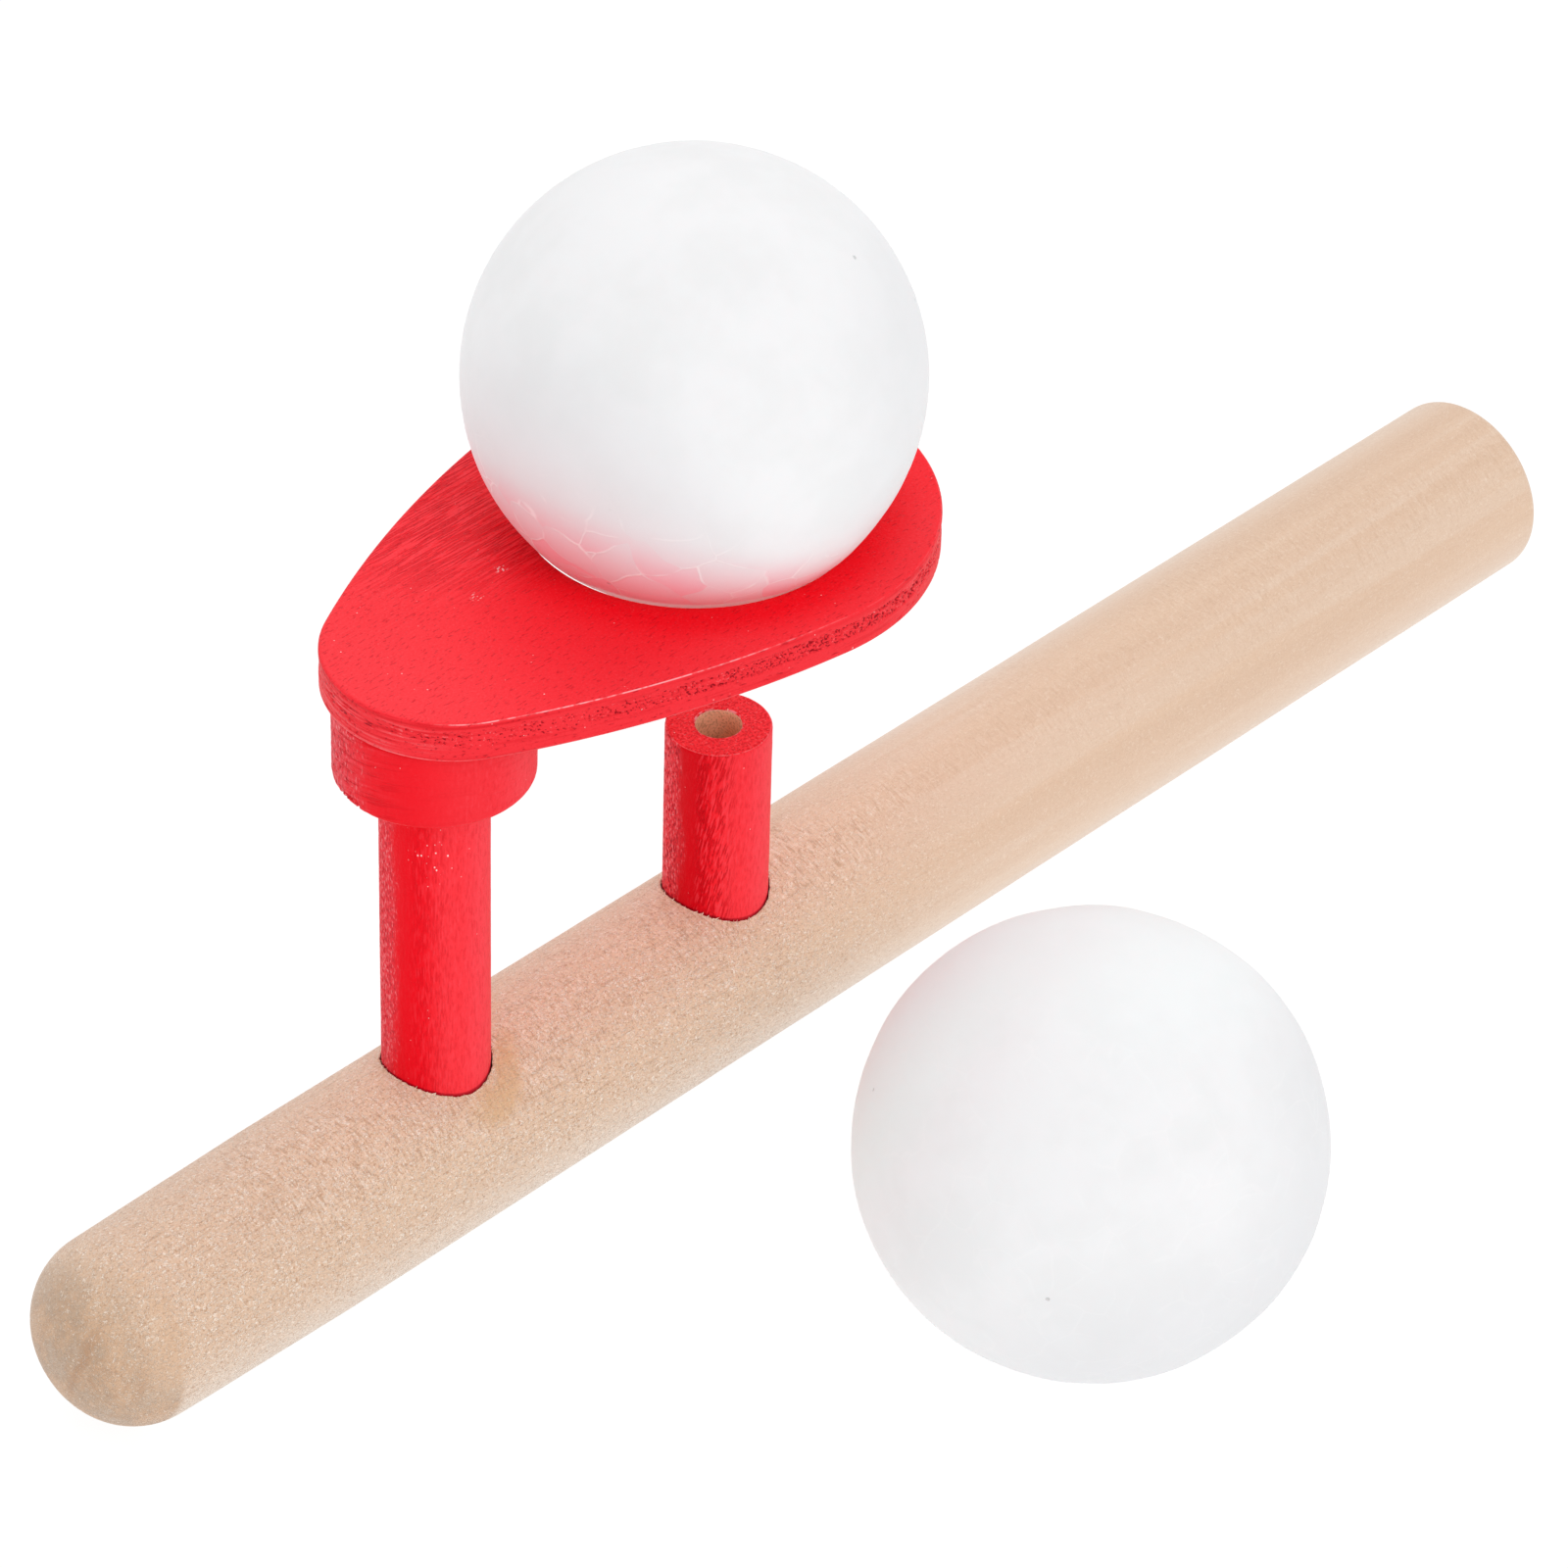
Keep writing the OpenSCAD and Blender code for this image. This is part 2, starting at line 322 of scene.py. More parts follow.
def bare_wood_finish():
    """Sanded, unpainted dowel: pale tan, pinker in its middle and felted with fine flecks, with end
    grain on its dome."""
    wood = Finish("bare_wood", **{"Roughness": 0.62, "Sheen Weight": 0.25, "Sheen Roughness": 0.45})
    x, y, z = wood.parts(wood.place)
    side_x = wood.parts(wood.normal)[0]
    pattern, ramp, fall, near, tint = wood.pattern, wood.ramp, wood.fall, wood.near, wood.tint

    # Broad tones. The paler tan low on the sides is a painted reflection of the bright floor, weaker towards
    # the mouth; towards the mouth the tan is also paler, most on the +y side
    streak = pattern((0.012, 0.22, 0.22), 0.0, 3.0, 0.6)
    pink = wood.between(x, -138.0, -122.0, -88.0, -66.0) * ramp(z, 0.5, 6.0)
    wood.tone = wood.colour(ramp(streak, 0.36, 0.64) * 0.35 + pink * 0.60, TAN, PINK_TAN)
    pale = ramp(z, -5.5, 2.5, 0.85, 0.0) * ramp(x, -82.0, -60.0, 1.0, 0.45)
    far_half = ramp(x, -82.0, -60.0)
    pale = pale + far_half * (0.04 + ramp(y, 0.5, 4.5) * 0.26)
    tint(pale, PALE_TAN)
    band = pattern((0.010, 0.42, 0.42), 19.0, 2.0, 0.55)
    dark_band = ramp(band, 0.50, 0.62) * ramp(z, -1.5, 2.0)
    tint(dark_band * far_half * 0.07, DARK_TAN)
    tint(fall(band, 0.38, 0.48) * far_half * 0.17, PALE_TAN)

    # Flecks, curled fibres and marks across the grain, all softer towards the mouth
    crisp = ramp(x, -96.0, -62.0, 1.0, 0.20)
    fleck = pattern((5.2, 6.4, 6.4), 5.0, swirl=0.8)
    hair = pattern((4.4, 6.0, 6.0), 9.0, swirl=1.2)
    bend = pattern((2.0, 2.9, 2.9), 7.0, swirl=1.0)
    fibre = near(bend - 0.5, 0.012, 0.055) * ramp(hair, 0.46, 0.56)
    tint(ramp(fleck, 0.52, 0.70) * crisp * 0.76, DARK_TAN)
    tint(ramp(hair, 0.56, 0.70) * crisp * 0.72, HAIR_TAN)
    tint(fibre * crisp * 0.80, HAIR_TAN)
    across = pattern((5.0, 1.2, 1.2), 15.0, swirl=0.6)
    patchy_zone = ramp(pattern((0.05, 0.12, 0.12), 13.0, 2.0), 0.36, 0.54) * ramp(z, 2.5, 5.5)
    patchy_zone = patchy_zone * ramp(x, -142.0, -134.0, 0.3, 1.0) * ramp(x, -74.0, -66.0, 1.0, 0.3)
    tint(ramp(across, 0.56, 0.68) * patchy_zone * 0.48, DARK_TAN)
    tint(fall(across, 0.32, 0.44) * patchy_zone * 0.32, HAIR_TAN)
    line = ramp(pattern((0.30, 4.6, 4.6), 3.0), 0.60, 0.74) * crisp
    tint(line * 0.34, DARK_TAN)

    # End grain on the dome, which fades into the side above and ends at an edge below, with faint
    # growth rings about a pith that lies off the axis, and a dark streak and a crack beside them
    wander = pattern(0.25, 1.0, 2.0)
    mottle = pattern(0.35, 17.0, 3.0, 0.6)
    edged = fall(side_x + (mottle - 0.5) * 0.10, -0.25, -0.13)
    faded = fall(side_x + (mottle - 0.5) * 0.50, -0.95, -0.20)
    above = ramp(z, -2.5, 2.5)
    ends = faded * above + edged * (1.0 - above)
    from_pith = wood.length(y + 4.0, z - 0.3) + (wander - 0.5) * 1.6
    ring = ramp(wood.math("SINE", from_pith * 4.2), 0.2, 0.9)
    pith_ring = near(from_pith - 1.1, 0.0, 0.35)
    from_oval = wood.length((y + 3.4) / 2.5, (z - 0.9) / 4.6)
    far_ring = near(from_oval - 0.96, 0.0, 0.16)
    far_ring = far_ring * fall(y, -3.8, -3.2) * ramp(z, -2.0, 0.5)
    streak_y = (wander - 0.5) * 1.5 - 1.28 - z * 0.30
    streak_dark = near(y - streak_y, 0.05, 0.65)
    streak_dark = streak_dark * ramp(z, -3.2, -1.6) * ramp(z, 2.5, 6.5, 1.0, 0.1)
    crack_z = 0.2 + (y + 2.6) * 0.20 + (fleck - 0.5) * 0.5
    crack = near(z - crack_z, 0.03, 0.14)
    crack = crack * near(y + 2.6, 0.4, 0.8)
    side_tone = wood.tone
    wood.tone = wood.colour(ramp(mottle, 0.44, 0.62) * 0.7, END_GRAIN, STAIN)
    tint(ramp(mottle, 0.34, 0.48, 0.15, 0.0), PALE_TAN)
    tint(ring * 0.18 + pith_ring * 0.42 + far_ring * 0.50, DARK_TAN)
    tint(streak_dark * 0.72 + crack * 0.55, DARK_TAN)
    tint(ramp(fleck, 0.54, 0.70) * 0.42, DARK_TAN)
    tint(ramp(hair, 0.58, 0.70) * 0.35, HAIR_TAN)
    tint(fibre * 0.35, HAIR_TAN)
    wood.tone = wood.colour(ends, side_tone, wood.tone)
    for spot, reach in STAINS:
        stained = fall(wood.measure("DISTANCE", wood.place, spot), reach * 0.2, reach)
        tint(stained * 0.42, STAIN)

    # A smear of dried glue beside the support post
    beside_x = x - SUPPORT_X
    away = wood.length(beside_x, y)
    towards = (beside_x * 0.50 - y * 0.87) / away
    smear = near(away + wander * 2.0 - 6.1, 0.3, 1.3)
    smear = smear * ramp(towards, 0.60, 0.96) * ramp(z, 2.5, 3.5)
    tint(smear * 0.68, GLUE)

    height = fleck * 0.05 * crisp + hair * 0.05 * crisp + fibre * 0.03 * crisp
    wood.feed(Base_Color=wood.tone, Roughness=0.66 - smear * 0.2, Normal=wood.bump(height))
    return wood.material


def drilled_wood_finish():
    """The darker-speckled wood inside the nozzle's bore, in a lighter, more orange tan than the pipe: partly
    the wood's own colour, partly painted light inside the bore.
    """
    wood = Finish("drilled_wood", **{"Roughness": 0.75})
    z = wood.parts(wood.place)[2]
    turned_lines = wood.pattern((1.4, 1.4, 4.5), 2.0, 2.0, 0.6)
    fleck = wood.pattern((6.5, 6.5, 4.5), 5.0)
    wood.tone = wood.colour(wood.ramp(turned_lines, 0.45, 0.70) * 0.25, DRILLED_TAN, DARK_TAN)
    wood.tint(wood.ramp(fleck, 0.50, 0.66) * 0.62, DARK_TAN)
    wood.tint(wood.ramp(z, NOZZLE_TOP - 0.30, NOZZLE_TOP - 0.05) * 0.5, WORN_AND_HIGHLIGHT_RED)
    wood.feed(Base_Color=wood.tone, Normal=wood.bump(fleck * 0.04))
    return wood.material


def torn_wood_finish():
    """Pale, freshly torn fibres."""
    wood = Finish("torn_wood", **{"Roughness": 0.70})
    tone = wood.pattern(2.0, 4.0, 2.0, 0.6)
    colour = wood.colour(wood.ramp(tone, 0.35, 0.65), TORN_TAN, TAN)
    wood.feed(Base_Color=colour, Normal=wood.bump(tone * 0.03))
    return wood.material


def plate_grain(tree, place):
    """Pores of a plywood edge: round where the middle ply's fibres end, long elsewhere."""
    across = tree.noise(place, (5.8, 0.45, 5.6), 2.0)
    along = tree.noise(place, (0.34, 5.2, 5.2), 6.0)
    return across, along


def middle_ply(tree, z):
    return tree.between(z, *MIDDLE_PLY)


def open_pores(tree, x, across):
    """The middle ply's pores, which crowd together along the wide end."""
    return tree.ramp(across + tree.ramp(x, -112.0, -98.0, 0.0, 0.06), 0.62, 0.67)


class RedPaint(Finish):
    """Satin red paint, thin enough for the wood's grain to show through it."""

    def __init__(self, name, gloss):
        super().__init__(name, **{"Specular IOR Level": gloss})
        self.x, self.y, self.z = self.parts(self.place)
        cloud = self.pattern(0.12, 0.0, 3.0, 0.6)
        self.tone = self.colour(self.ramp(cloud, 0.35, 0.70, 0.0, 0.12), RED, DEEP_RED)
        self.grit = self.pattern(5.5, 19.0)
        self.height = self.grit * 0.03

    def pit(self, mask, colour, depth_mm):
        self.tint(mask, colour)
        self.height = self.height - mask * depth_mm

    def dusted(self, crowded):
        """Light specks: dust and bare crumbs of wood, with more of them where it is crowded."""
        dust = self.cells(self.place, 1.5, "F1", 5.0)
        picked = self.parts(dust.outputs["Color"])
        speck = self.fall(Value(self, dust.outputs["Distance"]) + self.grit * 0.08, 0.09, 0.13)
        self.tint(speck * self.ramp(picked[0], 0.70, 1.05), DUST)
        crumbs = self.cells(self.place, (2.9, 2.9, 2.0), "F1", 9.0)
        chosen = self.ramp(self.parts(crumbs.outputs["Color"])[0], 0.40, 0.70) * crowded
        self.tint(self.fall(Value(self, crumbs.outputs["Distance"]), 0.15, 0.21) * chosen, DUST)

    def done(self, crowded=0.0):
        self.dusted(crowded)
        self.feed(Base_Color=self.tone, Roughness=0.38 + self.grit * 0.16, Normal=self.bump(self.height))
        return self.material


def coarse_side(paint, middle_x, radius, torn, low, high):
    """How far the paint faces its coarse side, and how coarse it is: from a torn line on, at full
    strength in front, and milder round the back."""
    facing = facing_coarse(paint.x, paint.y, middle_x, radius)
    behind = ((paint.x - middle_x) * MILD_SIDE[0] + paint.y * MILD_SIDE[1]) / radius
    return facing, paint.ramp(facing + torn, low, high) * paint.ramp(behind, 0.05, 0.45, 1.0, 0.30)


def plate_finish():
    """The painted plate: brushed ribs on top with painted sheen over parts of it, layers round its edge,
    painted highlights along its rims.
    """
    paint = RedPaint("red_paint_plate", 0.10)
    x, y, z = paint.x, paint.y, paint.z
    pattern, ramp, fall, tint, pit = paint.pattern, paint.ramp, paint.fall, paint.tint, paint.pit
    upper = ramp(z, PLATE_TOP - 0.15, PLATE_TOP - 0.02)
    # Painted sheen on the top: over the narrow end, and away from the seat, with none beside it
    tint(fall(x, -124.0, -102.0) * upper, PAINTED_LIGHT_RED)
    from_seat = paint.length(x - SEAT_X, y)
    tint(ramp(from_seat, 13.5, 17.0) * ramp(y, -14.0, -9.0, 0.70, 0.35) * upper, PAINTED_LIGHT_RED)
    tint((1.0 - upper) * 0.80, EDGE_RED)

    # Ribs that the brush left along the grain, and short open dashes of grain
    ribs = pattern((0.42, 7.2, 7.2), 4.0, 0.0)
    patchy = ramp(pattern((0.12, 0.35, 0.35), 29.0, 2.0), 0.38, 0.58, 0.70, 1.0)
    combed = ramp(x + y * 0.6, -113.0, -102.0, 0.12, 1.0) * ramp(y, -2.0, 6.0) * patchy
    pit(ramp(ribs, 0.48, 0.60) * combed * upper * 0.46, RIB_RED, 0.08)
    tint(fall(ribs, 0.38, 0.46) * combed * upper * 0.30, PINK_RED)
    dash = pattern((1.6, 6.4, 6.4), 23.0)
    pit(ramp(dash, 0.63, 0.70) * upper * 0.42, RIB_RED, 0.05)
    tint(ramp(paint.grit, 0.54, 0.72) * 0.18, DEEP_RED)
    tint(fall(paint.grit, 0.28, 0.42) * upper * 0.22, PINK_RED)

    # Bare crumbs of wood
    bare = ramp(pattern(4.2, 37.0), 0.56, 0.64)
    for spot in PLATE_CRUMBS_AT:
        close = fall(paint.measure("DISTANCE", paint.place, spot), 0.20, 0.65)
        tint(bare * close * 0.60, DUST)

    # Layers, a shade under the rim, and pores round the edge
    across, along = plate_grain(paint, paint.place)
    middle = middle_ply(paint, z)
    layer = pattern((0.16, 0.16, 4.6), 8.0, 2.0, 0.6)
    leftmost = fall(x, -124.3, -121.0) * ramp(y, -8.0, -6.0)
    tint(ramp(layer, 0.52, 0.64) * (1.0 - upper) * (0.30 + leftmost * 0.40), DEEP_RED)
    tint(fall(layer, 0.36, 0.46) * (1.0 - upper) * leftmost * 0.10, WORN_AND_HIGHLIGHT_RED)
    under_rim = paint.between(z - PLATE_TOP, -0.48, -0.36, -0.26, -0.18)
    tint(under_rim * ramp(x, -120.0, -112.0, 0.60, 0.15), DEEP_RED)
    tint(open_pores(paint, x, across) * middle * 0.95, PORE_RED)
    tint(fall(across, 0.26, 0.34) * middle * 0.16, WORN_AND_HIGHLIGHT_RED)
    tint(ramp(along, 0.62, 0.72) * (1.0 - middle) * (1.0 - upper) * 0.50, PORE_RED)

    # Painted highlights: a broken one along the near upper rim, and one along the lower rim over the collar
    rim = paint.between(z - PLATE_TOP, -0.13, -0.09, -0.07, -0.04) * ramp(from_seat, 13.0, 13.4)
    near = fall(y, -7.0, -5.0) * ramp(x, -124.0, -120.0)
    near = near * ramp(x, -106.0, -92.0, 1.0, 0.10)
    highlight_breaks = ramp(pattern((1.3, 1.3, 0.4), 11.0, 2.0, 0.6), 0.36, 0.58)
    tint(rim * near * (0.15 + highlight_breaks * 0.85) * 0.72, WORN_AND_HIGHLIGHT_RED)
    low_rim_highlight = paint.between(z - PLATE_LOW, 0.06, 0.12, 0.20, 0.28)
    tint(low_rim_highlight * ramp(x, -123.0, -119.0, 0.20, 0.08) * (0.4 + highlight_breaks * 0.6), WORN_AND_HIGHLIGHT_RED)
    return paint.done()


def post_grain(tree, place, lean):
    """A post's grain, which leans with the lean: its own place, its furrows and its rough crust."""
    x, y, z = tree.parts(place)
    grain = tree.joined(x + z * lean * COARSE_SIDE[0], y + z * lean * COARSE_SIDE[1], z)
    return grain, tree.noise(grain, (7.4, 7.4, 0.95), 12.0), tree.noise(place, (6.2, 6.2, 2.4), 25.0)


def furrowed_side(tree, facing):
    """Where furrows are deep: beside the coarse side, towards the front."""
    return tree.between(facing, -0.45, -0.10, 0.25, 0.45)


def post_finish(name, middle_x, lean, coarseness):
    """A painted dowel: its grain leans a little, coarse on one side, with end grain on top."""
    paint = RedPaint(name, 0.06)
    x, y, z = paint.x, paint.y, paint.z
    pattern, ramp, fall, tint, pit = paint.pattern, paint.ramp, paint.fall, paint.tint, paint.pit
    side = fall(paint.parts(paint.normal)[2], 0.60, 0.90)
    torn = (pattern((1.6, 1.6, 0.35), 31.0, 3.0, 0.7) - 0.5) * 0.4
    facing, coarse = coarse_side(paint, middle_x, POST_R, torn, 0.56, 0.80)
    coarse_sheen_strip = coarse * side
    # Painted shade on a strip beside the coarse side, painted light on the side away from it and pinker
    # still opposite it, and a painted grazing sheen, with light flecks, over the coarse strip
    shaded_strip = paint.between(facing, -0.10, 0.38, 0.62, 0.90) * side
    tint(shaded_strip * (coarseness * 1.05 - 0.25), DEEP_RED)
    tint(fall(facing, -0.35, 0.25), PAINTED_LIGHT_RED)
    tint(ramp(facing, -1.0, -0.40, 0.40, 0.0) * side, PINK_RED)
    tint(coarse_sheen_strip * 0.35, GRAZING_SHEEN_PINK)

    grain, furrow, crust = post_grain(paint, paint.place, lean)
    streak = paint.noise(grain, (3.4, 3.4, 0.22), 4.0, 3.0, 0.6)
    tint(ramp(streak, 0.50, 0.72) * side * 0.16, DEEP_RED)
    furrowed = furrowed_side(paint, facing) * coarseness
    pit(ramp(furrow, 0.52, 0.63) * side * (0.06 + furrowed * 0.8) * 0.75, DEEP_RED, 0.08)
    tint(fall(furrow, 0.34, 0.46) * side * (0.05 + furrowed * 0.38), PINK_RED)
    stroke = pattern((7.0, 7.0, 1.5), 33.0)
    stroked = ramp(facing, -0.15, 0.35, 1.0, 0.15) * side * (1.0 - furrowed * 0.6)
    pit(ramp(stroke, 0.54, 0.66) * stroked * 0.26, DEEP_RED, 0.05)
    tint(fall(stroke, 0.32, 0.44) * stroked * 0.22, PINK_RED)
    pit(ramp(crust, 0.54, 0.64) * coarse_sheen_strip * (0.24 + 0.42 * coarseness), PORE_RED, 0.07)
    tint(fall(crust, 0.32, 0.44) * coarse_sheen_strip * 0.30, WORN_AND_HIGHLIGHT_RED)

    # A painted shadow line where the post goes into the pipe
    crevice_shade = fall(z - paint.math("SQRT", PIPE_R ** 2 - y ** 2.0), 0.0, 0.14)
    tint(crevice_shade * side * 0.60, PORE_RED)

    # End grain on top, lightened with painted light, and bare crumbs at its rims
    top = 1.0 - side
    fuzz = pattern((4.6, 4.6, 1.0), 21.0)
    tint(top * 0.8, PAINTED_LIGHT_RED)
    pit(ramp(paint.grit, 0.48, 0.62) * top * 0.65, DEEP_RED, 0.04)
    tint(ramp(fuzz, 0.58, 0.70) * top * 0.14, WORN_AND_HIGHLIGHT_RED)
    reach = paint.length(x - middle_x, y)
    brow = paint.between(reach, POST_R - 0.20, POST_R - 0.12, POST_R - 0.08, POST_R)
    tint(brow * top * ramp(fuzz, 0.30, 0.50) * 0.35, WORN_AND_HIGHLIGHT_RED)
    lip = paint.near(reach - JET_R - 0.08, 0.04, 0.12)
    crumbly = ramp(pattern(2.2, 27.0, 2.0, 0.6), 0.42, 0.58)
    tint(lip * crumbly * ramp(z, NOZZLE_TOP - 0.3, NOZZLE_TOP - 0.15) * 0.6, WORN_AND_HIGHLIGHT_RED)
    from_crumbs = paint.measure("DISTANCE", paint.place, POST_CRUMBS_AT)
    return paint.done(crowded=ramp(from_crumbs, 0.9, 2.4, 0.9, 0.0))


def collar_layers(tree, x, y, z):
    """The collar's layers of grain, which dip towards its front."""
    dip = z + ((x - SUPPORT_X) * COARSE_SIDE[1] - y * COARSE_SIDE[0]) * 0.25
    return tree.noise(tree.joined(x * 0.25, y * 0.25, dip * 3.2), 1.0, 4.0, 2.0, 0.6)


def collar_finish():
    """The painted collar: layered and nicked on its coarse side, smooth in front, fuzzy beyond."""
    paint = RedPaint("red_paint_collar", 0.08)
    x, y, z = paint.x, paint.y, paint.z
    pattern, ramp, fall, tint, pit = paint.pattern, paint.ramp, paint.fall, paint.tint, paint.pit
    torn = (pattern(1.2, 31.0, 3.0, 0.7) - 0.5) * 0.5
    facing, coarse = coarse_side(paint, SUPPORT_X, COLLAR_R, torn, 0.50, 0.95)
    tint(0.14, DEEP_RED)
    tint(ramp(facing, -0.5, 0.2, 0.8, 0.15), EDGE_RED)
    # Pinker opposite the coarse side: painted light. Over the coarse side: a painted grazing sheen, with
    # light flecks in it further down
    tint(ramp(facing, -1.0, -0.5, 0.35, 0.0), PINK_RED)
    tint(coarse * 0.45, GRAZING_SHEEN_PINK)
    layers = collar_layers(paint, x, y, z)
    pit(ramp(layers, 0.54, 0.66) * ramp(facing, 0.0, 0.8, 0.10, 0.65), DEEP_RED, 0.05)
    tint(fall(layers, 0.34, 0.44) * ramp(facing, 0.2, 0.8, 0.0, 0.35), PINK_RED)
    crust = pattern((4.8, 4.8, 2.0), 25.0)
    pit(ramp(crust, 0.56, 0.68) * coarse * 0.6, PORE_RED, 0.06)
    tint(fall(crust, 0.28, 0.40) * coarse * 0.40, WORN_AND_HIGHLIGHT_RED)
    fuzz = pattern((5.0, 5.0, 1.6), 21.0)
    fuzzy = ramp(facing, -0.6, 0.0, 1.0, 0.2)
    tint(ramp(fuzz, 0.54, 0.70) * fuzzy * 0.25, DEEP_RED)
    tint(fall(fuzz, 0.30, 0.44) * fuzzy * 0.20, PINK_RED)
    # A pale line round the collar's foot, broken by the fuzz: a painted highlight
    foot = fall(z, COLLAR_LOW + 0.02, COLLAR_LOW + 0.12)
    tint(foot * ramp(fuzz, 0.40, 0.55) * 0.4, WORN_AND_HIGHLIGHT_RED)
    return paint.done()


def foam_beads(tree, place, shift):
    """How far a place is from the seam between two of a moulded foam ball's beads."""
    edge = tree.cells(bent_beads(tree, place), BEADS_PER_MM, "DISTANCE_TO_EDGE", shift)
    return Value(tree, edge.outputs["Distance"])


def bent_beads(tree, place):
    """A place pushed about a little, so that the beads' seams are curved."""
    bend = tree.node("ShaderNodeTexNoise", None, {"Vector": place, "Scale": 0.24, "Detail": 1.0})
    return tree.vector("ADD", place, tree.scaled(bend.outputs["Color"], 3.0))


def foam_finish(name, middle, radius, shift, seams, bounce_light, shades):
    """White moulded foam. Bead seams show below a level, painted near white: a painted highlight along them.
    Lower still, painted red light bounced off the plate lies bead by bead, and a strip of painted light
    from below lies just above the plate. Each shade tints the side that faces an axis: painted shade
    where its tone is darker, painted light where it is lighter."""
    foam = Finish(name, **{
        "Subsurface Weight": 0.5, "Subsurface Radius": (1.0, 0.85, 0.85),
        "Subsurface Scale": 0.002, "Specular IOR Level": 0.25})
    x, _, z = foam.parts(foam.place)
    pattern, ramp, fall, tint = foam.pattern, foam.ramp, foam.fall, foam.tint
    level = z + (x - SEAT_X) * 0.35 + 4.0
    seam_from, seam_to, seam_share = seams
    low = fall(level, seam_to, seam_from) * seam_share
    edge = foam_beads(foam, foam.place, shift)
    broken = ramp(pattern(0.30, shift, 2.0), 0.42, 0.56)
    seam = fall(edge, 0.008, 0.038) * broken * low
    cloud = pattern(0.14, shift + 6.0, 3.0, 0.6)
    foam.tone = foam.colour(ramp(cloud, 0.38, 0.66), FOAM, GREY_FOAM)
    outwards = foam.scaled(foam.vector("SUBTRACT", foam.place, middle), 1.0 / radius)
    # Painted shade and painted light, each on the side that faces its axis
    for axis, start, end, share, tone in shades:
        facing = foam.measure("DOT_PRODUCT", outwards, axis)
        tint(ramp(facing, start, end) * share, tone)
    # Painted red light bounced off the plate, patchy bead by bead, low on the ball
    bounce_low, bounce_high, bounce_share = bounce_light
    bead = foam.cells(bent_beads(foam, foam.place), BEADS_PER_MM, "F1", shift)
    patch = ramp(foam.parts(bead.outputs["Color"])[0], 0.2, 0.8, 0.50, 1.0)
    patchy_zone = fall(level, bounce_low, bounce_high) * patch * bounce_share
    patchy_zone = patchy_zone * ramp(z, PLATE_TOP + 0.10, PLATE_TOP + 0.45)
    tint(patchy_zone, BOUNCE_PINK)
    pit_cell = foam.cells(foam.place, 0.16, "F1", shift + 3.0)
    pit = fall(Value(foam, pit_cell.outputs["Distance"]), 0.018, 0.03)
    tint(pit * 0.45, (0.45, 0.44, 0.43))
    # The bead seams painted near white: a painted highlight along their ridges, over the painted red light
    tint(seam * 0.65, (1.0, 0.99, 0.99))
    # A near-white strip just above the plate: painted light from below, through the gap round the seat
    lit_from_below = fall(z, PLATE_TOP + 0.10, PLATE_TOP + 0.70) * bounce_share
    tint(lit_from_below, (1.0, 0.97, 0.97))
    skin = pattern(1.2, 4.0, 3.0, 0.6)
    height = seam * 0.03 - pit * 0.08 + skin * 0.02
    foam.feed(Base_Color=foam.tone, Roughness=0.50 + skin * 0.12, Normal=foam.bump(height))
    return foam.material


# Meshes
def stepped(points, step):
    """A line through the points with extra points, so that no stretch is longer than the step."""
    line = [points[0]]
    for start, end in zip(points, points[1:]):
        count = max(1, math.ceil(math.dist(start, end) / step))
        for i in range(1, count + 1):
            t = i / count
            line.append(tuple(a + (b - a) * t for a, b in zip(start, end)))
    return line


def arc(middle, radius, start, end, count):
    """Points on an arc, with its angles in degrees."""
    angles = [math.radians(start + (end - start) * i / count) for i in range(count + 1)]
    return [(middle[0] + radius * math.cos(a), middle[1] + radius * math.sin(a)) for a in angles]


def eased_side(radius, high, low, ease, step, foot_count):
    """The outside of an upright bar, from its top down to its foot, with both of its edges eased."""
    brow = arc((radius - ease, high - ease), ease, 90, 0, 5)
    side = stepped([(radius, high - ease), (radius, low + ease)], step)
    foot = arc((radius - ease, low + ease), ease, 0, -90, foot_count)
    return brow + side[1:] + foot[1:]


def new_piece(name, places, faces):
    """An object made of places in millimetres, with its faces pointing outwards."""
    mesh = bpy.data.meshes.new(name)
    mesh.from_pydata(np.asarray(places, float) * MM, [], faces)
    work = bmesh.new()
    work.from_mesh(mesh)
    bmesh.ops.recalc_face_normals(work, faces=work.faces)
    work.to_mesh(mesh)
    work.free()
    mesh.polygons.foreach_set("use_smooth", [True] * len(mesh.polygons))
    piece = bpy.data.objects.new(name, mesh)
    bpy.context.scene.collection.objects.link(piece)
    return piece


def turned(name, profile, around, middle, lying=False, closed=False):
    """A piece turned from a profile of (radius, height) points. Lying, its height runs along -x."""
    angles = np.linspace(0.0, 2.0 * math.pi, around, endpoint=False)
    rings, places = [], []
    for radius, height in profile:
        if radius < 1e-6:
            rings.append([len(places)])
            ring = [(0.0, 0.0, height)]
        else:
            rings.append(list(range(len(places), len(places) + around)))
            ring = [(radius * math.cos(a), radius * math.sin(a), height) for a in angles]
        places.extend(ring)
    faces = []
    pairs = list(zip(rings, rings[1:])) + ([(rings[-1], rings[0])] if closed else [])
    for low, high in pairs:
        for i in range(around):
            j = (i + 1) % around
            if len(low) == 1:
                faces.append((low[0], high[j], high[i]))
            elif len(high) == 1:
                faces.append((low[i], low[j], high[0]))
            else:
                faces.append((low[i], low[j], high[j], high[i]))
    places = np.asarray(places)
    if lying:
        places = np.stack([-places[:, 2], places[:, 0], places[:, 1]], axis=1)
    return new_piece(name, places + np.asarray(middle), faces)


